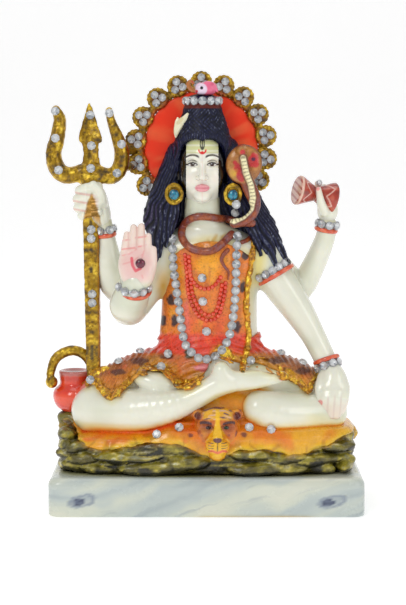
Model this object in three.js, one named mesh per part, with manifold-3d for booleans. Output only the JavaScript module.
// A painted cast-resin shiva figure: one casting on a veined slab, with crystals glued to it.
// Millimetres, +Z up, +X to the viewer's right, the figure faces -Y.
// The origin is the middle of the slab's underside.
import * as THREE from "three";
import { mergeVertices } from "three/addons/utils/BufferGeometryUtils.js";
import Module from "manifold-3d";

const wasm = await Module();
wasm.setup();

// Driving dimensions
const PLINTH_WIDTH = 155;
const PLINTH_DEPTH = 76;
const PLINTH_HEIGHT = 19;
const PLINTH_EDGE = 4; // radius of the slab's top edges
const PLINTH_CORNER = 5; // radius of its upright corners
const SEAT_GAP = 0.3; // between the slab and the casting
const FIGURE_HEIGHT = 197.5; // underside of the rock to the top of the halo
const STONE_RADIUS = 2.1; // a clear crystal
const STONE_THICKNESS = 1.7;
const CHAIN_PITCH = 4.35; // from stone to stone in the long necklace
const BRACELET_PITCH = 4.2;
const HALO_STONE_RADIUS = 1.85;
const EAR_STONE_RADIUS = 2.5;
const PALM_STONE_RADIUS = 2.4;
const DRUM_BALL_RADIUS = 2.7;
const GLUE_GAP = 0.3; // between a stone and the casting
const SMOOTHING = 0.4; // how far the casting's faces may stray from its drawn forms

// The casting's pose and proportions are shares of its height: 197.5 of them make it up.
const SHARE = FIGURE_HEIGHT / 197.5;
const FIGURE_FOOT = PLINTH_HEIGHT + SEAT_GAP;

const BACKWARDS = new THREE.Vector3(0, 1, 0);
const IN_FRONT = 300; // where rays that look along +Y start from

const vec = (x, y, z) => new THREE.Vector3(x, y, z);

// Shares of the figure's height in millimetres
const sized = (values) => values.map((value) => value * SHARE);

// Solids: a closed mesh, and how it becomes a manifold-3d solid and a three.js geometry.

function solid(geometry) {
  const bare = geometry.index ? geometry.toNonIndexed() : geometry.clone();
  bare.deleteAttribute("normal");
  bare.deleteAttribute("uv");
  const merged = mergeVertices(bare, 1e-4);
  const index = merged.index.array;
  const kept = [];
  for (let i = 0; i < index.length; i += 3) {
    const [a, b, c] = [index[i], index[i + 1], index[i + 2]];
    if (a !== b && b !== c && c !== a) kept.push(a, b, c);
  }
  const corner = (i) => new THREE.Vector3().fromBufferAttribute(merged.attributes.position, i);
  let volume = 0;
  for (let i = 0; i < kept.length; i += 3) {
    const [a, b, c] = kept.slice(i, i + 3).map(corner);
    volume += a.dot(b.cross(c));
  }
  if (volume < 0) kept.reverse();
  return new wasm.Manifold(
    new wasm.Mesh({
      numProp: 3,
      vertProperties: merged.attributes.position.array,
      triVerts: new Uint32Array(kept),
    }),
  );
}

function geometryOf(manifold) {
  const mesh = manifold.getMesh();
  const geometry = new THREE.BufferGeometry();
  geometry.setAttribute("position", new THREE.BufferAttribute(mesh.vertProperties, 3));
  geometry.setIndex(new THREE.BufferAttribute(mesh.triVerts, 1));
  geometry.computeVertexNormals();
  return geometry;
}

// A closed geometry with its faces turned outwards
const tidy = (geometry) => geometryOf(solid(geometry));

const union = (solids) => solids.reduce((whole, one) => whole.add(one));

// The same solid without the pockets that joined forms close off inside it.
function filledIn(manifold) {
  const { vertProperties: xyz, triVerts } = manifold.getMesh();
  const home = Array.from({ length: xyz.length / 3 }, (_, i) => i);
  const root = (i) => {
    while (home[i] !== i) i = home[i] = home[home[i]];
    return i;
  };
  for (let t = 0; t < triVerts.length; t += 3) {
    home[root(triVerts[t + 1])] = root(triVerts[t]);
    home[root(triVerts[t + 2])] = root(triVerts[t]);
  }
  const corner = (i) => vec(xyz[3 * i], xyz[3 * i + 1], xyz[3 * i + 2]);
  const volumes = new Map();
  for (let t = 0; t < triVerts.length; t += 3) {
    const shell = root(triVerts[t]);
    const [a, b, c] = [0, 1, 2].map((k) => corner(triVerts[t + k]));
    volumes.set(shell, (volumes.get(shell) ?? 0) + a.dot(b.cross(c)));
  }
  const kept = [];
  for (let t = 0; t < triVerts.length; t += 3) {
    if (volumes.get(root(triVerts[t])) > 0) kept.push(...triVerts.slice(t, t + 3));
  }
  return new wasm.Manifold(
    new wasm.Mesh({ numProp: 3, vertProperties: xyz, triVerts: new Uint32Array(kept) }),
  );
}

// A closed skin over rings of equal length, with a flat fan over each end.
function ringSkin(rings) {
  const sides = rings[0].length;
  const index = [];
  for (let r = 0; r + 1 < rings.length; r++) {
    for (let s = 0; s < sides; s++) {
      const here = r * sides + s;
      const next = r * sides + ((s + 1) % sides);
      index.push(here, next, next + sides, here, next + sides, here + sides);
    }
  }
  const last = (rings.length - 1) * sides;
  for (let s = 1; s + 1 < sides; s++) index.push(0, s + 1, s, last, last + s, last + s + 1);
  return new THREE.BufferGeometry().setFromPoints(rings.flat()).setIndex(index);
}

// The same surface with fewer triangles: a vertex slides onto a neighbour wherever that moves
// the surface by less than the tolerance and turns no face over.
function simplified(geometry, tolerance) {
  const xyz = geometry.attributes.position;
  const points = Array.from({ length: xyz.count }, (_, i) => vec(0, 0, 0).fromBufferAttribute(xyz, i));
  const faces = [];
  const around = points.map(() => new Set());
  const drift = points.map(() => 0);
  for (let i = 0; i < geometry.index.count; i += 3) {
    const face = [0, 1, 2].map((k) => geometry.index.getX(i + k));
    face.forEach((v) => around[v].add(faces.length));
    faces.push(face);
  }
  const neighbours = (v) => {
    const found = new Set([...around[v]].flatMap((f) => faces[f]));
    found.delete(v);
    return found;
  };
  const crossOf = (face) => {
    const [a, b, c] = face.map((v) => points[v]);
    return b.clone().sub(a).cross(c.clone().sub(a));
  };
  const cost = (v, u, ring) => {
    let shared = 0;
    for (const w of neighbours(u)) shared += ring.has(w);
    if (shared !== 2) return Infinity;
    const move = points[u].clone().sub(points[v]);
    let worst = 0;
    for (const f of around[v]) {
      const before = crossOf(faces[f]);
      const size = before.length();
      if (size > 1e-4) worst = Math.max(worst, Math.abs(before.dot(move)) / size);
      if (faces[f].includes(u)) continue;
      const after = crossOf(faces[f].map((w) => (w === v ? u : w)));
      if (after.length() < 1e-3) return Infinity;
      if (size > 1e-4 && after.dot(before) < 0.6 * after.length() * size) return Infinity;
    }
    return worst + drift[v];
  };
  for (const share of [0.1, 0.3, 0.6, 1, 1]) {
    for (let v = 0; v < points.length; v++) {
      if (!around[v].size) continue;
      const ring = neighbours(v);
      let [best, least] = [-1, share * tolerance];
      for (const u of ring) {
        const error = cost(v, u, ring);
        if (error < least) [best, least] = [u, error];
      }
      if (best < 0) continue;
      drift[best] = Math.max(drift[best], least);
      for (const f of around[v]) {
        if (faces[f].includes(best)) {
          faces[f].forEach((w) => w !== v && around[w].delete(f));
          faces[f] = null;
        } else {
          faces[f] = faces[f].map((w) => (w === v ? best : w));
          around[best].add(f);
        }
      }
      around[v].clear();
    }
  }
  const left = new THREE.BufferGeometry().setFromPoints(points);
  return left.setIndex(faces.filter(Boolean).flat());
}

// A round-ended limb through stations of [x, y, z, radius], in shares of the figure's height.
// flat scales its depth, from front to back, and square makes its section boxy.
function limb(stations, { sides = 8, steps = 2, flat = 1, square = 0, cap = 2, unit = SHARE } = {}) {
  const path = new THREE.CatmullRomCurve3(
    stations.map(([x, y, z]) => vec(x, y, z).multiplyScalar(unit)),
  );
  const girth = new THREE.CatmullRomCurve3(stations.map(([, , , r]) => vec(r * unit, 0, 0)));
  const count = (stations.length - 1) * steps;
  const rings = [];
  const across = vec(0, 1, 0);
  const ringAt = (centre, tangent, radius) => {
    across.addScaledVector(tangent, -across.dot(tangent)).normalize();
    const side = tangent.clone().cross(across);
    return Array.from({ length: sides }, (_, s) => {
      const turn = ((s + 0.5) / sides) * 2 * Math.PI;
      const [c, n] = [Math.cos(turn), Math.sin(turn)];
      const reach = radius / Math.max(1 - square, Math.abs(c), Math.abs(n));
      const p = centre.clone().addScaledVector(across, c * reach);
      p.addScaledVector(side, n * reach);
      p.y = centre.y + (p.y - centre.y) * flat;
      return p;
    });
  };
  for (let i = 0; i <= count; i++) {
    const u = i / count;
    const centre = path.getPoint(u);
    const tangent = path.getTangent(u);
    const radius = girth.getPoint(u).x;
    const ends = (i === 0) - (i === count);
    const capRings = [];
    for (let c = 1; ends && c <= cap; c++) {
      const angle = (c / (cap + 0.4)) * (Math.PI / 2);
      const out = centre.clone().addScaledVector(tangent, -ends * radius * Math.sin(angle));
      capRings.push(ringAt(out, tangent, radius * Math.cos(angle)));
    }
    const body = ringAt(centre, tangent, radius);
    rings.push(...(i === 0 ? [...capRings.reverse(), body] : [body, ...capRings]));
  }
  return solid(ringSkin(rings));
}

// An ellipsoid at a place with three half sizes, turned by [rx, ry, rz] degrees.
function blob(place, halves, turn = [0, 0, 0], [round, high] = [10, 7]) {
  const sphere = new THREE.SphereGeometry(1, round, high).rotateX(Math.PI / 2);
  const spin = new THREE.Euler(...turn.map((degrees) => THREE.MathUtils.degToRad(degrees)));
  sphere.scale(...sized(halves)).applyMatrix4(new THREE.Matrix4().makeRotationFromEuler(spin));
  return solid(sphere.translate(...sized(place)));
}

// A turned form on an axis from a place along a direction, from [radius, height] pairs.
function turned(place, direction, profile, segments = 12) {
  const lathe = new THREE.LatheGeometry(
    profile.map((pair) => new THREE.Vector2(...sized(pair))),
    segments,
  );
  const tilt = new THREE.Quaternion().setFromUnitVectors(BACKWARDS, direction.clone().normalize());
  lathe.applyQuaternion(tilt);
  return solid(lathe.translate(...sized(place)));
}

// A raised band around a limb: a ring of a given radius about an axis.
function band(place, direction, radius, thickness, segments = 12) {
  const half = thickness;
  const profile = [
    [0, -half],
    [radius + thickness, -half],
    [radius + thickness, half],
    [0, half],
  ];
  return turned(place, direction, profile, segments);
}

// Surface finding: where a ray meets a solid, and a line laid on its front.

const caster = new THREE.Raycaster();

function meshOf(manifold) {
  return new THREE.Mesh(
    geometryOf(manifold),
    new THREE.MeshBasicMaterial({ side: THREE.FrontSide }),
  );
}

function hit(surface, from, direction) {
  caster.set(from, direction);
  const found = caster.intersectObject(surface)[0];
  return found && { point: found.point, normal: found.face.normal.clone() };
}

// Lays a line of [x, z] points on the front of a surface, in a number of even steps.
function laid(surface, points, radius, steps) {
  const line = new THREE.CatmullRomCurve3(points.map(([x, z]) => vec(x, 0, z)));
  return line.getSpacedPoints(steps).flatMap(({ x, z }) => {
    const found = hit(surface, vec(x * SHARE, -IN_FRONT, z * SHARE), BACKWARDS);
    return found ? [[x, found.point.y / SHARE - radius * 0.6, z, radius]] : [];
  });
}

// The slab

function plinthSolid() {
  const levels = [
    [0, 0],
    [PLINTH_HEIGHT - PLINTH_EDGE, 0],
    [PLINTH_HEIGHT - PLINTH_EDGE * 0.5, PLINTH_EDGE * 0.13],
    [PLINTH_HEIGHT - PLINTH_EDGE * 0.13, PLINTH_EDGE * 0.5],
    [PLINTH_HEIGHT, PLINTH_EDGE],
  ];
  const rings = levels.map(([height, inset]) => {
    const corner = PLINTH_CORNER;
    const halfWidth = PLINTH_WIDTH / 2 - inset;
    const halfDepth = PLINTH_DEPTH / 2 - inset;
    const outline = [];
    for (const [sx, sy, start] of [
      [1, 1, 0],
      [-1, 1, 1],
      [-1, -1, 2],
      [1, -1, 3],
    ]) {
      for (let step = 0; step <= 3; step++) {
        const turn = (start + step / 3) * (Math.PI / 2);
        outline.push(
          vec(
            sx * (halfWidth - corner) + corner * Math.cos(turn),
            sy * (halfDepth - corner) + corner * Math.sin(turn),
            height,
          ),
        );
      }
    }
    return outline;
  });
  return solid(ringSkin(rings));
}

// The casting, drawn in millimetres above its own underside at DRAWN_HEIGHT

const ROCK = { halfWidth: 75, halfDepth: 30.5, top: 20, ledges: 2 };

// A rounded box outline of half sizes a and b at a height, with a wave along its edge.
function slabRing(a, b, height, wave = () => 1, columns = 24) {
  return Array.from({ length: columns }, (_, i) => {
    const turn = (i / columns) * 2 * Math.PI;
    const corner = (v) => Math.sign(v) * Math.abs(v) ** 0.6;
    const reach = wave(turn);
    const [x, y] = [corner(Math.cos(turn)) * a * reach, corner(Math.sin(turn)) * b * reach];
    return vec(...sized([x, y, height]));
  });
}

// A layered rock whose ledges step in and out
function rockMound() {
  const ledge = ROCK.top / ROCK.ledges;
  const ragged = (turn) => 1 + 0.02 * Math.sin(7 * turn) + 0.015 * Math.cos(11 * turn);
  const rings = [];
  for (let i = 0; i < ROCK.ledges; i++) {
    rings.push(slabRing(ROCK.halfWidth * 0.955, ROCK.halfDepth * 0.95, i * ledge, ragged));
    rings.push(slabRing(ROCK.halfWidth, ROCK.halfDepth, (i + 0.45) * ledge, ragged));
  }
  rings.push(slabRing(ROCK.halfWidth * 0.95, ROCK.halfDepth * 0.9, ROCK.top, ragged));
  return solid(ringSkin(rings));
}

// Flat stones along the front and the sides: place, half width and tilt
function rockStones() {
  const stones = [
    [-58, -21, 7, 17, 9],
    [-38, -28, 10, 18, 4],
    [-27, -29, 3.2, 17, 0],
    [-10, -30, 5.5, 12, -4],
    [21, -29, 10, 11, 4],
    [24, -30, 3.2, 14, -2],
    [48, -26, 6, 15, -6],
    [62, -18, 13, 12, 8],
    [-68, 0, 15, 9, -14],
    [-67, 3, 22.5, 8, 6],
  ];
  return stones.map(([x, y, z, wide, tilt]) =>
    blob([x, y, z], [wide, 5, 3.4], [0, tilt, 0], [7, 4]),
  );
}

// The tiger skin: a sheet over the rock, drooping at the front
function tigerSkin() {
  const levels = [
    [71, 29.5, 15.5],
    [72.5, 31, 18],
    [70, 29.5, 21.5],
    [58, 24, 24],
  ];
  return solid(ringSkin(levels.map(([a, b, height]) => slabRing(a, b, height))));
}

function tigerHead() {
  return union([
    blob([5, -25, 23.5], [12.6, 8, 9.4], [0, 0, 0], [10, 6]),
    blob([5, -28.5, 27.5], [9.4, 6, 6.2], [0, 0, 0], [8, 5]),
    limb(
      [
        [5, -28, 26.5, 5.4],
        [5.3, -33, 19.5, 5],
        [5.6, -33.5, 14, 4.8],
        [5.8, -32, 9.2, 3],
      ],
      { sides: 7, steps: 1, cap: 1 },
    ),
    blob([-6.4, -26, 29.6], [3, 2.4, 3.2], [0, -25, 0], [5, 4]),
    blob([14.4, -26, 29.6], [3, 2.4, 3.2], [0, 25, 0], [5, 4]),
    limb(
      [
        [5, -33, 27.5, 1.5],
        [5.2, -38, 19.8, 2],
      ],
      { sides: 5, steps: 1, cap: 1 },
    ),
  ]);
}

function legs() {
  const thigh = (side, out) => [
    [side * 12 + 1, 4, 45, 15.5],
    [side * 31 + out, 2, 41, 14.6],
    [side * 46 + out, -2, 35.4, 13.4],
    [side * 55.5 + out, -6, 29, 11.8],
  ];
  const shinOver = [
    [-55.8, -9, 28.2, 11.4],
    [-42, -15, 29, 11],
    [-31, -19, 30.4, 10.4],
    [-20, -22, 32.4, 8.6],
    [-9, -24, 36, 6.4],
    [2, -24.5, 42, 6],
    [9, -24.5, 45.4, 6],
  ];
  const shinUnder = [
    [58.6, -9, 27.8, 11.6],
    [46, -15, 27.6, 11],
    [34, -19, 29, 10.6],
    [26.5, -20, 31, 8.6],
  ];
  const foot = [
    [9, -24.5, 45.4, 6],
    [20, -24.6, 45.8, 5],
    [28, -24, 46, 4],
    [36.5, -23, 45.6, 1.6],
  ];
  return union([
    limb(thigh(-1, 0), { sides: 9, steps: 1, cap: 1 }),
    limb(thigh(1, 2), { sides: 9, steps: 1, cap: 1 }),
    limb(shinOver, { sides: 8, steps: 1, cap: 1 }),
    limb(shinUnder, { sides: 8, steps: 1, cap: 1 }),
    limb(foot, { sides: 7, steps: 1, cap: 1 }),
    blob([7.2, -24, 49.6], [4.4, 5, 4.8], [0, 0, 0], [7, 5]),
    blob([-24, -14, 42.2], [13, 8, 5.6], [0, 16, 0], [8, 5]),
  ]);
}

// The garment's body, from the hips to the neck: place, half width and half depth
function torso() {
  const sections = [
    [1.2, 2, 28, 30, 18],
    [1.4, 2, 47, 29.5, 17],
    [1.5, 1, 57, 26.5, 14.5],
    [1.6, 0, 66, 24.2, 12.8],
    [1.8, 0, 78, 23.6, 12.6],
    [2, 0, 91, 23.4, 13.6],
    [2.4, 0, 102, 24, 14],
    [2.4, 0, 110, 24, 13],
    [1.6, 0.5, 116, 19.5, 11],
    [-0.6, 0.5, 120.5, 12, 9],
    [-2, -1.5, 125, 9.6, 8.6],
    [-2.2, -2, 136, 9, 8],
  ];
  const sides = 14;
  const rings = sections.map(([x, y, z, wide, deep]) =>
    Array.from({ length: sides }, (_, i) => {
      const turn = ((i + 0.5) / sides) * 2 * Math.PI;
      return vec(...sized([x + wide * Math.cos(turn), y + deep * Math.sin(turn), z]));
    }),
  );
  return solid(ringSkin(rings));
}

const ARMS = {
  raised: [
    [-17, 0, 108, 9],
    [-28.5, -3, 92, 8.6],
    [-38.6, -8, 80.6, 9.4],
    [-36.8, -14.5, 87.5, 8.6],
    [-34.8, -18.6, 94, 7],
  ],
  trident: [
    [-18, 4, 108, 8.5],
    [-34, 6, 94.6, 8],
    [-44.4, 6.5, 88.6, 7.8],
    [-48.6, 5, 99, 7.2],
    [-50, 3.6, 112.5, 4.6],
    [-51.4, 2.8, 122, 4],
  ],
  knee: [
    [27.5, 0, 107, 9.6],
    [35.4, -1, 93.6, 9.2],
    [46, -4, 78, 7.6],
    [53.5, -7, 65.6, 6],
    [60, -9.5, 52.6, 5.4],
  ],
  drum: [
    [28, 4, 106, 9],
    [41, 7, 93, 7.6],
    [47.6, 7, 88.6, 6.6],
    [54, 5, 100, 5.8],
    [59.4, 2.5, 113.5, 5],
    [60.6, 2, 121, 4.6],
  ],
};

const armSolids = () =>
  Object.values(ARMS).map((stations) => limb(stations, { sides: 8, steps: 1, cap: 1 }));

// A finger: a thin tapering limb from knuckle to tip
const finger = (from, to, radius) =>
  limb([[...from, radius], [...to, radius * 0.72]], { sides: 5, steps: 1, cap: 1 });

function raisedHand() {
  const fingers = [
    [-40.4, -38.6, 117.6, 2.4],
    [-36.4, -35.4, 121, 2.5],
    [-32.3, -31.6, 121.4, 2.5],
    [-28.6, -28.2, 116.6, 2.3],
  ];
  return union([
    blob([-34.2, -21.4, 102.5], [9, 3.6, 11], [0, 0, 0], [9, 6]),
    ...fingers.map(([x0, x1, z, r]) => finger([x0, -22, 107], [x1, -23.5, z], r)),
    finger([-27.6, -21, 98], [-25.8, -23.5, 109.5], 2.8),
  ]);
}

function tridentHand() {
  const knuckles = [140, 135.6, 131.2, 127];
  return union([
    blob([-55, 1.5, 130.4], [6, 5.6, 9.6], [0, 8, 0], [7, 5]),
    ...knuckles.map((z, i) => finger([-65 + i * 0.9, 0, z + 0.6], [-56, -5, z - 0.8], 3)),
  ]);
}

function kneeHand() {
  return union([
    blob([64.4, -13.8, 39.6], [8.2, 6.2, 10.4], [12, 0, 0], [8, 6]),
    finger([57.8, -14.6, 43], [56.8, -19, 35], 2.2),
    finger([60, -16.5, 38], [58.9, -20, 30], 2.5),
    finger([64.4, -16.8, 37], [64, -20.2, 28], 2.5),
    finger([68.6, -14.4, 38], [69, -17.4, 29], 2.4),
  ]);
}

function drumHand() {
  return union([
    blob([60.4, 1.5, 128.6], [6, 4.2, 6.2], [0, -14, 0], [7, 5]),
    finger([57.6, -2.4, 128], [55, -7.4, 138.8], 2.1),
    finger([57, 3, 130], [51, 2.5, 134.5], 2.2),
    finger([61, 4.5, 130], [57, 6.4, 141], 2.2),
    finger([64, 3.5, 129], [63.4, 6.6, 136.6], 2.2),
  ]);
}

// The hourglass drum in the upper hand, on a tilted axis
function drum() {
  const axis = vec(19, 6, -4.6);
  const length = axis.length();
  const profile = [
    [0, 0],
    [7.2, 0],
    [7.6, 1.2],
    [3.7, length / 2],
    [8, length - 1.2],
    [7.6, length],
    [0, length],
  ];
  return turned([44.6, -4.5, 138.6], axis, profile, 10);
}

function head() {
  const [x, front] = [-2.2, -15];
  return union([
    blob([x, -1, 149], [11.8, 14.2, 16.8], [0, 0, 0], [12, 9]),
    blob([x, -9, 138], [7.4, 6.4, 6], [0, 0, 0], [8, 5]),
    limb(
      [
        [x, front + 1, 152.5, 1],
        [x, front - 1.6, 144, 1.9],
      ],
      { sides: 5, steps: 1, cap: 1 },
    ),
    blob([x, front + 1, 139.4], [3, 1.5, 1.3], [0, 0, 0], [6, 4]),
    blob([-14, 0, 148], [2.4, 3.4, 5], [0, 0, 0], [5, 4]),
    blob([9.7, 0, 148], [2.4, 3.4, 5], [0, 0, 0], [5, 4]),
  ]);
}

function hair() {
  const locks = [
    // on the viewer's left: the mass, its long tip and a shorter one in front
    [[-13, 5, 156, 6.6], [-17, 5, 143, 7.4], [-21.6, 4, 131, 7.6], [-24.4, 1.5, 119, 6]],
    [[-21.6, 2, 132, 6], [-23.6, -2, 118, 4.8], [-24.4, -6, 106, 3.4], [-25.2, -7, 95, 1]],
    [[-16, -2, 134, 3.4], [-21.4, -6, 121, 3.2], [-24, -8.5, 107, 1]],
    // on the viewer's right: the mass, its long tip and two shorter ones
    [[9.5, 4, 158, 6.6], [14.5, 2, 144, 7.2], [20.5, 2, 131, 7.8], [27.6, 2, 120, 6.8]],
    [[28, 1, 120, 6.6], [34.6, -1.5, 108.6, 4.6], [39.6, -3, 99.6, 3], [45.6, -3, 89, 0.8]],
    [[21, -5, 125, 3.6], [24, -9, 115.6, 2.8], [26.6, -10.5, 107, 0.8]],
    [[27, -4, 119, 4], [31.4, -8, 110, 2.8], [34, -9.5, 101.5, 0.8]],
  ];
  return union([
    blob([-1.8, 1.8, 154], [15, 13.6, 16], [0, 0, 0], [12, 7]),
    limb(
      [
        [-1.6, 1.5, 160, 14.2],
        [-1.8, 1, 168, 12],
        [-2, 0.5, 180, 8.4],
      ],
      { sides: 10, steps: 1, cap: 1 },
    ),
    blob([0, 8, 128], [21, 7.5, 27], [0, 0, 0], [9, 6]),
    ...locks.map((lock) => limb(lock, { sides: 6, steps: 1, cap: 1 })),
  ]);
}

// The topknot: a coil, the small spouting head on it and the crescent at its side
function topknot() {
  const crescent = [
    [-9.4, -6.4, 175, 1],
    [-12.4, -5, 170, 2],
    [-16.2, -3, 165.6, 1],
  ];
  return union([
    blob([-2, 0, 182.4], [8.8, 8.8, 3.8], [0, 0, 0], [9, 4]),
    blob([-1.2, -4, 188.2], [6.4, 5.2, 4.6], [0, 10, 0], [8, 5]),
    blob([-7.6, -4, 188.4], [2.8, 3, 3.2], [0, 0, 0], [5, 4]),
    limb(crescent, { sides: 5, steps: 1, cap: 1, flat: 0.6 }),
  ]);
}

const HALO = { centre: [-2.6, 11, 158.9], ring: 33.1, scallop: 5.5, disc: 29 };
const HALO_TURNS = [-124.2, -103.5, -82.8, -62.1, -41.4, -20.7, 0, 19.8, 39.6, 59.4, 79.2, 99, 118.8];

const haloPoint = (turn, radius) => [
  HALO.centre[0] + radius * Math.sin(THREE.MathUtils.degToRad(turn)),
  HALO.centre[1],
  HALO.centre[2] + radius * Math.cos(THREE.MathUtils.degToRad(turn)),
];

function halo() {
  const disc = [
    [0, -0.6],
    [HALO.disc - 1.6, -0.6],
    [HALO.disc, -2],
    [HALO.disc + 3, -1.4],
    [HALO.disc + 3, 1.6],
    [0, 2.4],
  ];
  const scallop = [
    [0, -2.2],
    [HALO.scallop - 1.2, -2.2],
    [HALO.scallop, 0],
    [0, 1.8],
  ];
  return union([
    turned(HALO.centre, BACKWARDS, disc, 26),
    ...HALO_TURNS.map((turn) => turned(haloPoint(turn, HALO.ring), BACKWARDS, scallop, 10)),
  ]);
}

function trident() {
  const y = 3;
  const leftProng = [
    [-75, y, 178, 2.3],
    [-73.2, y, 172.6, 3.2],
    [-74.4, y, 164.4, 3.6],
    [-76.4, y, 156, 3.9],
    [-74.6, y, 148.8, 4.2],
    [-69, y, 145.4, 4.3],
    [-60, y, 148, 3.8],
  ];
  const rightProng = [
    [-48.6, y, 177.6, 1.9],
    [-47.2, y, 171.4, 2.3],
    [-44.2, y, 163.6, 3.2],
    [-42.2, y, 155.4, 3.8],
    [-44, y, 148, 4],
    [-49, y, 145, 4.1],
    [-57, y, 148, 3.8],
  ];
  const blade = [
    [-57.8, y, 147, 4.2],
    [-57.6, y, 156, 3.4],
    [-57.8, y, 162.8, 6],
    [-58.2, y, 173, 3.2],
    [-58.5, y, 181.4, 0.7],
  ];
  const shaft = [
    [-58, y - 0.5, 143, 4],
    [-57.6, y, 95, 3.6],
    [-57, y + 0.5, 38, 3.2],
  ];
  return union([
    limb(leftProng, { sides: 7, steps: 1, cap: 1 }),
    limb(rightProng, { sides: 7, steps: 1, cap: 1 }),
    limb(blade, { sides: 6, steps: 1, cap: 1, flat: 0.65 }),
    limb(shaft, { sides: 8, steps: 1, cap: 1, square: 0.2 }),
    blob([-58.4, y, 143.6], [6.8, 5, 4], [0, 0, 0], [7, 4]),
    limb([[-43, 5, 158, 2.8], [-35, 9.5, 158, 3]], { sides: 5, steps: 1, cap: 1 }),
  ]);
}

// The water pot with its looped handle and spout, beside the knee
function waterPot() {
  const [x, y, foot] = [-66.8, 5, 25.4];
  const profile = [
    [0, 0],
    [5.4, 0],
    [10, 3.8],
    [11.2, 9],
    [9.4, 14],
    [7.2, 16.6],
    [8.2, 21.4],
    [6.4, 20.8],
    [0, 20.4],
  ];
  const handle = [
    [x - 11.6, y - 4, foot + 15.8, 3],
    [x - 12, y - 3, foot + 21, 2],
    [x - 9, y - 1.5, foot + 28, 2.4],
    [x - 1.6, y, foot + 31.4, 2.4],
    [x + 5.6, y, foot + 28.6, 2.4],
    [x + 9.2, y, foot + 21, 2.4],
    [x + 9, y, foot + 14, 2.4],
  ];
  return union([
    turned([x, y, foot], vec(0, 0, 1), profile, 10),
    limb(handle, { sides: 6, steps: 1, cap: 1 }),
    limb(
      [
        [x + 5, y - 6, foot + 11, 3],
        [x + 9.4, y - 9.6, foot + 17, 2.2],
      ],
      { sides: 6, steps: 1, cap: 1 },
    ),
  ]);
}

// The cobra: a body looped round the neck, a raised hood and a tail on the chest
function cobra(body) {
  const coil = [[2, 124.2], [-7, 124], [-11, 117.4], [-8.4, 111], [0, 108], [8, 111.4], [12.6, 117]];
  const neck = [
    [17.6, -12.4, 155, 1.7],
    [21, -12, 144, 1.9],
    [24.4, -11.6, 133, 2.2],
    [20.6, -12.6, 124.4, 2.3],
    [12, -13, 121.4, 2.2],
    ...laid(body, coil, 1.9, 8),
  ];
  const tail = laid(body, [[10, 108.6], [7, 104.6], [10, 98.8], [10.2, 94.6]], 1.2, 4);
  return union([
    limb(neck, { sides: 6, steps: 1, cap: 1 }),
    blob([18.4, -8.4, 151.4], [8.8, 3.2, 9.6], [0, 14, 0], [9, 6]),
    limb([[17, -10, 157, 2.6], [16, -13.6, 158.4, 1.6]], { sides: 5, steps: 1, cap: 1 }),
    limb(tail, { sides: 5, steps: 1, cap: 1 }),
  ]);
}

// What lies on the body's front: hems, the garment's border, the bead strings and the sash
function trimmings(body) {
  const hems = [
    [[-60, 40.5], [-53, 41.5], [-48, 36], [-43, 37.4], [-38, 43.5], [-31, 48.6]],
    [[-19, 47], [-14, 42.5], [-7, 42], [-1, 46]],
    [[16, 51.5], [26, 51.6], [38, 47.6], [46, 43], [50.6, 38.4], [55, 44]],
  ];
  const border = [[23.6, 114], [21.4, 100], [19.8, 86], [20, 74], [20.6, 66], [18.2, 52]];
  const beads = [
    [[-11, 106], [-9.6, 90], [-6, 79], [1, 74.2], [7.4, 79.4], [9.2, 90]],
    [[-8.8, 104], [-6.4, 93], [0.8, 89.2], [7.4, 94.6]],
  ];
  const sash = [[-21, 64], [-9, 62.4], [13, 62.4], [23.6, 65]];
  return union([
    ...hems.map((line) => limb(laid(body, line, 1.8, 8), { sides: 5, steps: 1, cap: 1 })),
    limb(laid(body, border, 1.2, 8), { sides: 4, steps: 1, cap: 1 }),
    ...beads.map((line) => limb(laid(body, line, 1.1, 9), { sides: 4, steps: 1, cap: 1 })),
    limb(laid(body, sash, 2, 6), { sides: 4, steps: 1, cap: 1 }),
  ]);
}

// The earrings: a ring and the cup that holds its stone
const EARS = [
  [-16, -9.5, 136.4],
  [13, -9.5, 136.2],
];

function earrings() {
  const profile = [
    [0, -0.2],
    [3.6, -0.2],
    [4.4, -1.2],
    [5.2, 0],
    [2, 8],
    [0, 8],
  ];
  return union(EARS.map((place) => turned(place, BACKWARDS, profile, 9)));
}

// Where the bracelets go: a point on the limb's axis, the axis, the limb's radius there,
// the first and the last turn of the stones in degrees from the front, and the band's offset
const BRACELETS = {
  raised_wrist_crystals: {
    at: [-35, -18.2, 92.6], axis: [0.05, -0.5, 0.86], radius: 7.3, from: -70, to: 70, drop: -3.6,
  },
  trident_wrist_crystals: {
    at: [-50.8, 3.2, 118.4], axis: [-0.13, -0.1, 1], radius: 4.3, from: -30, to: 90, drop: -3.4,
  },
  knee_wrist_crystals: {
    at: [60.8, -9.8, 51.4], axis: [0.3, -0.2, -0.93], radius: 5.8, from: -100, to: 100, drop: -3.9,
  },
  drum_wrist_crystals: {
    at: [60.5, 2, 121.2], axis: [0.16, -0.1, 1], radius: 4.9, from: -80, to: 100, drop: -3.4,
  },
  armlet_crystals: {
    at: [33.4, -0.8, 98.4], axis: [0.5, -0.08, -0.86], radius: 9.4, from: -48, to: 66, drop: 3.2,
  },
};

function bands() {
  return union(
    Object.values(BRACELETS).map(({ at, axis, radius, drop }) => {
      const place = at.map((value, i) => value + (axis[i] * drop) / Math.hypot(...axis));
      return band(place, vec(...axis), radius, 0.8, 10);
    }),
  );
}

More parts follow.
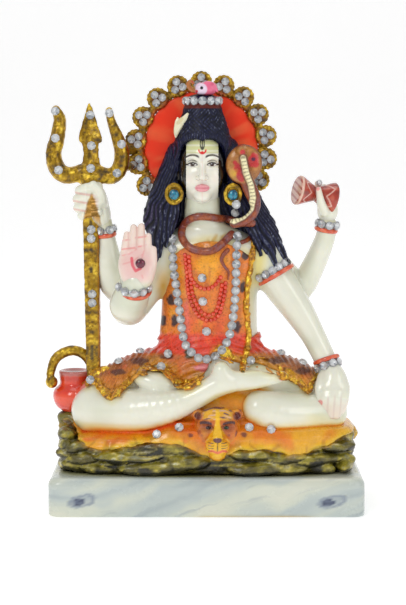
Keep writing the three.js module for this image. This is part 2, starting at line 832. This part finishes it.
function casting() {
  const body = union([
    rockMound(),
    ...rockStones(),
    tigerSkin(),
    tigerHead(),
    legs(),
    torso(),
    ...armSolids(),
  ]);
  const front = meshOf(body);
  const dressed = union([
    body,
    trimmings(front),
    raisedHand(),
    tridentHand(),
    kneeHand(),
    drumHand(),
    drum(),
    head(),
    hair(),
    topknot(),
    halo(),
    trident(),
    waterPot(),
    cobra(front),
    earrings(),
    bands(),
  ]);
  const ground = new THREE.BoxGeometry(...sized([200, 200, 60])).translate(...sized([0, 0, -30]));
  return filledIn(dressed.subtract(solid(ground)));
}

// The crystals, seated on the finished casting

// A flat-backed round stone with its back on the origin, facing +Y
function stoneShape(radius, sides = 6) {
  const ring = (r, y) =>
    Array.from({ length: sides }, (_, i) => {
      const turn = (i / sides) * 2 * Math.PI;
      return vec(r * Math.sin(turn), y, r * Math.cos(turn));
    });
  return ringSkin([ring(radius, 0), ring(radius * 0.66, STONE_THICKNESS)]);
}

// Three touching stones as one flat trefoil
function trioShape(radius) {
  const apart = (2 * radius) / Math.sqrt(3);
  const outline = [0, 1, 2].flatMap((lobe) =>
    [-75, -25, 25, 75].map((turn) => {
      const out = THREE.MathUtils.degToRad(lobe * 120);
      const edge = THREE.MathUtils.degToRad(lobe * 120 + turn);
      const x = apart * Math.sin(out) + radius * Math.sin(edge);
      return new THREE.Vector2(x, apart * Math.cos(out) + radius * Math.cos(edge));
    }),
  );
  const flat = new THREE.ExtrudeGeometry(new THREE.Shape(outline), {
    depth: STONE_THICKNESS,
    bevelEnabled: false,
  });
  return flat.rotateX(-Math.PI / 2);
}

// The seat for a stone where a ray meets the surface: its place and outward normal.
// It is lifted until its back clears everything under its footprint.
function seat(surface, from, direction, radius) {
  const centre = hit(surface, from, direction);
  if (!centre) return null;
  const look = direction.clone().normalize();
  const side = vec(0, 0, 1).cross(look).normalize();
  const up = look.clone().cross(side);
  const normal = centre.normal.clone();
  const around = [];
  for (const share of [0.4, 0.7, 1]) {
    for (let i = 0; i < 12; i++) {
      const turn = (i / 12) * 2 * Math.PI;
      const start = from.clone().addScaledVector(side, share * radius * Math.cos(turn));
      start.addScaledVector(up, share * radius * Math.sin(turn));
      const found = hit(surface, start, direction);
      if (!found) continue;
      const deeper = found.point.clone().sub(centre.point).dot(look);
      if (Math.abs(deeper) < 1.8 * radius) {
        around.push(found.point);
        normal.addScaledVector(found.normal, 0.2);
      }
    }
  }
  normal.addScaledVector(look, -3).normalize();
  const rise = (p) => p.clone().sub(centre.point).dot(normal);
  const lift = Math.max(0, ...around.map(rise)) + GLUE_GAP;
  return { place: centre.point.clone().addScaledVector(normal, lift), normal };
}

function seated(geometry, { place, normal }) {
  const turn = new THREE.Quaternion().setFromUnitVectors(BACKWARDS, normal);
  return geometry.clone().applyQuaternion(turn).translate(...place);
}

// The seat at [x, z] seen from the front, or from above at a slope through that point at depth y
function frontSeat(surface, [x, z, slope = 0, y = 0], radius) {
  const down = THREE.MathUtils.degToRad(slope);
  const look = vec(0, Math.cos(down), -Math.sin(down));
  const start = vec(...sized([x, y, z])).addScaledVector(look, -IN_FRONT);
  return seat(surface, start, look, radius);
}

// A chain over seats that alternate stone, link, stone: a flat strip, wide at each stone
function chain(seats, radius) {
  const rings = seats.flatMap(({ place, normal }, i) => {
    const ahead = seats[Math.min(i + 1, seats.length - 1)].place;
    const tangent = ahead.clone().sub(seats[Math.max(i - 1, 0)].place);
    tangent.addScaledVector(normal, -tangent.dot(normal)).normalize();
    const side = tangent.clone().cross(normal);
    const cuts = i % 2 ? [[0, 0.45]] : [[-0.42, 1], [0.42, 1]];
    if (i === 0) cuts.unshift([-0.95, 0.5]);
    if (i === seats.length - 1) cuts.push([0.95, 0.5]);
    return cuts.map(([along, wide]) => {
      const middle = place.clone().addScaledVector(tangent, along * radius);
      return [[-1, 0], [1, 0], [0.62, 1], [-0.62, 1]].map(([across, out]) =>
        middle
          .clone()
          .addScaledVector(side, across * wide * radius)
          .addScaledVector(normal, out * STONE_THICKNESS * (0.5 + wide / 2)),
      );
    });
  });
  return ringSkin(rings);
}

// Seats for a chain along a line of [x, z] points, with a stone at both ends
function frontChain(surface, points, pitch) {
  const line = new THREE.CatmullRomCurve3(points.map(([x, z]) => vec(x * SHARE, 0, z * SHARE)));
  const gaps = Math.round(line.getLength() / pitch);
  const places = line.getSpacedPoints(2 * gaps);
  return places.map((p) => frontSeat(surface, [p.x / SHARE, p.z / SHARE], pitch / 2));
}

// Seats for a chain round a limb
function ringChain(surface, { at, axis, radius, from, to }, pitch) {
  const along = vec(...axis).normalize();
  if (along.z < 0) along.negate();
  const front = vec(0, -1, 0).addScaledVector(along, along.y).normalize();
  const arc = THREE.MathUtils.degToRad(to - from) * (radius * SHARE + GLUE_GAP);
  const gaps = Math.round(arc / pitch);
  return Array.from({ length: 2 * gaps + 1 }, (_, i) => {
    const turn = THREE.MathUtils.degToRad(from + ((to - from) * i) / (2 * gaps));
    const outward = front.clone().applyAxisAngle(along, turn);
    const start = vec(...sized(at)).addScaledVector(outward, 2.2 * radius * SHARE);
    return seat(surface, start, outward.negate(), pitch / 2);
  });
}

const NECKLACE = [
  [-16.8, 114], [-16.6, 107], [-16, 99], [-14.4, 88], [-12.8, 76], [-11.4, 66], [-8.8, 60],
  [-1.6, 55], [6.4, 58.6], [10.6, 65], [12.8, 74], [14, 86], [14.4, 98], [14.6, 107], [14.8, 115.5],
];
const NAPE = [[14.8, 127.4], [14.6, 131.6]];
const TOPKNOT = { at: [-2, 0, 182.4], axis: [0, 0, 1], radius: 8.8, from: -80, to: 80 };

const SINGLE_STONES = {
  trident_crystal_left_tip: [-75, 177.4],
  trident_crystal_left_middle: [-75, 164],
  trident_crystal_left_foot: [-73.6, 148.2],
  trident_crystal_blade_tip: [-58, 175.4],
  trident_crystal_blade_foot: [-57.4, 160.4],
  trident_crystal_middle: [-57.6, 149],
  trident_crystal_right_tip: [-48.3, 176.4],
  trident_crystal_right_middle: [-42.4, 161],
  trident_crystal_right_foot: [-44.6, 146.8],
  pot_crystal: [-57.6, 43.6],
  thigh_crystal_left_outer: [-44, 49.3, 40, -2],
  thigh_crystal_left_top: [-33.4, 55.4, 45, 0],
  thigh_crystal_left_inner: [-19, 57.4],
  thigh_crystal_left_lower: [-22.6, 51],
  thigh_crystal_right_inner: [21.8, 54],
  thigh_crystal_right_top: [37.4, 54, 45, 0],
  thigh_crystal_right_outer: [48, 49.6, 40, -2],
  skin_crystal_left_outer: [-24, 19.8],
  skin_crystal_left_inner: [-13.4, 22.7],
  skin_crystal_right_inner: [20.8, 22.7],
  skin_crystal_right_outer: [31.6, 22.6],
  chest_crystal_upper: [-2.2, 95.6],
  chest_crystal_middle: [-1.8, 84],
  chest_crystal_lower: [0, 69],
};
const SHAFT_PAIRS = { upper: [-57.6, 116.4], lower: [-57.4, 84] };
const PALM = [-32.2, 103.6];
const DRUM_TOP = [56, 139, 57, -1.5];

function material(colour, roughness, metalness = 0) {
  return new THREE.MeshStandardMaterial({ color: colour, roughness, metalness });
}

const RESIN = material(0xe9e6d2, 0.25);
const VEINED = material(0xcfd6cc, 0.3);
const CRYSTAL = material(0xd9dde2, 0.08, 0.9);
const TURQUOISE = material(0x1f8fb0, 0.2);
const GARNET = material(0x6d1130, 0.15);

const group = new THREE.Group();
const figure = new THREE.Group();
figure.position.z = FIGURE_FOOT;
group.add(figure);

function addTo(parent, name, geometry, finish) {
  const mesh = new THREE.Mesh(geometry, finish);
  mesh.name = name;
  parent.add(mesh);
  return mesh;
}

function addStone(name, surface, place, radius, finish = CRYSTAL) {
  const where = frontSeat(surface, place, radius);
  addTo(figure, name, tidy(seated(stoneShape(radius), where)), finish);
}

function addCrystals(surface) {
  for (const [name, place] of Object.entries(SINGLE_STONES)) {
    addStone(name, surface, place, STONE_RADIUS);
  }
  const apart = (STONE_RADIUS + GLUE_GAP / 2) / SHARE;
  for (const [name, [x, z]] of Object.entries(SHAFT_PAIRS)) {
    addStone(`shaft_crystal_${name}_top`, surface, [x, z + apart], STONE_RADIUS);
    addStone(`shaft_crystal_${name}_foot`, surface, [x, z - apart], STONE_RADIUS);
  }
  EARS.forEach(([x, , z], i) => {
    addStone(`ear_stone_${i ? "right" : "left"}`, surface, [x, z], EAR_STONE_RADIUS, TURQUOISE);
  });
  addStone("palm_stone", surface, PALM, PALM_STONE_RADIUS, GARNET);
  addStone("drum_crystal", surface, DRUM_TOP, DRUM_BALL_RADIUS);
}

function addChains(surface) {
  const add = (name, seats, pitch) =>
    addTo(figure, name, tidy(chain(seats.filter(Boolean), pitch / 2)), CRYSTAL);
  add("necklace_crystals", frontChain(surface, NECKLACE, CHAIN_PITCH), CHAIN_PITCH);
  add("necklace_end_crystals", frontChain(surface, NAPE, CHAIN_PITCH), CHAIN_PITCH);
  add("topknot_crystals", ringChain(surface, TOPKNOT, BRACELET_PITCH), BRACELET_PITCH);
  for (const [name, bracelet] of Object.entries(BRACELETS)) {
    add(name, ringChain(surface, bracelet, BRACELET_PITCH), BRACELET_PITCH);
  }
}

// Three stones on each scallop of the halo
function addHaloTrios(surface) {
  const trio = trioShape(HALO_STONE_RADIUS);
  HALO_TURNS.forEach((turn, i) => {
    const [x, , z] = haloPoint(turn, HALO.ring);
    const where = frontSeat(surface, [x, z], 2 * HALO_STONE_RADIUS);
    const spun = trio.clone().rotateY(THREE.MathUtils.degToRad(turn));
    addTo(figure, `halo_crystals_${i + 1}`, tidy(seated(spun, where)), CRYSTAL);
  });
}

const castGeometry = tidy(simplified(geometryOf(casting()), SMOOTHING));
addTo(figure, "shiva_casting", castGeometry, RESIN);
const surface = new THREE.Mesh(castGeometry, RESIN);
addCrystals(surface);
addChains(surface);
addHaloTrios(surface);
addTo(group, "plinth_slab", geometryOf(plinthSolid()), VEINED);

export default group;
